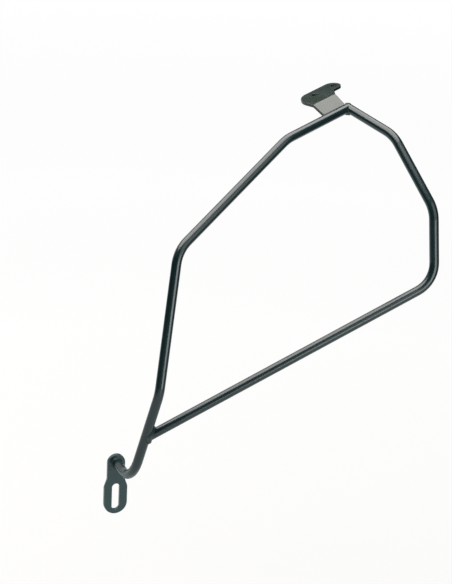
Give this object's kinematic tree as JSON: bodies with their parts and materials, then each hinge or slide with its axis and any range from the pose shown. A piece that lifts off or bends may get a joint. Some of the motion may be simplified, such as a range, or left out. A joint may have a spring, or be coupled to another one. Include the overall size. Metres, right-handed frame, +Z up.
{
  "type": "pannier frame",
  "caption": "Bent round-tube side frame that keeps a motorbike pannier off the wheel, with a slotted lug at its foot and a folded, drilled bracket at its top.",
  "frame": {"origin": "middle of the lower lug's slot, on the lug's inner face, which lies against the bike", "axes": "+X to the rear of the bike, +Y inwards to the bike, out of the lug's inner face, +Z up along the slot"},
  "size_m": [0.3948, 0.2219, 0.5211],
  "materials": {
    "coated_steel": "satin dark grey powder coat"
  },
  "bodies": {
    "root": {"front_tube": "coated_steel", "rear_tube": "coated_steel", "lower_lug": "coated_steel", "top_bracket": "coated_steel", "corner_weld": "coated_steel", "rail_weld": "coated_steel", "lug_weld": "coated_steel", "bracket_weld": "coated_steel"}
  },
  "joints": []
}
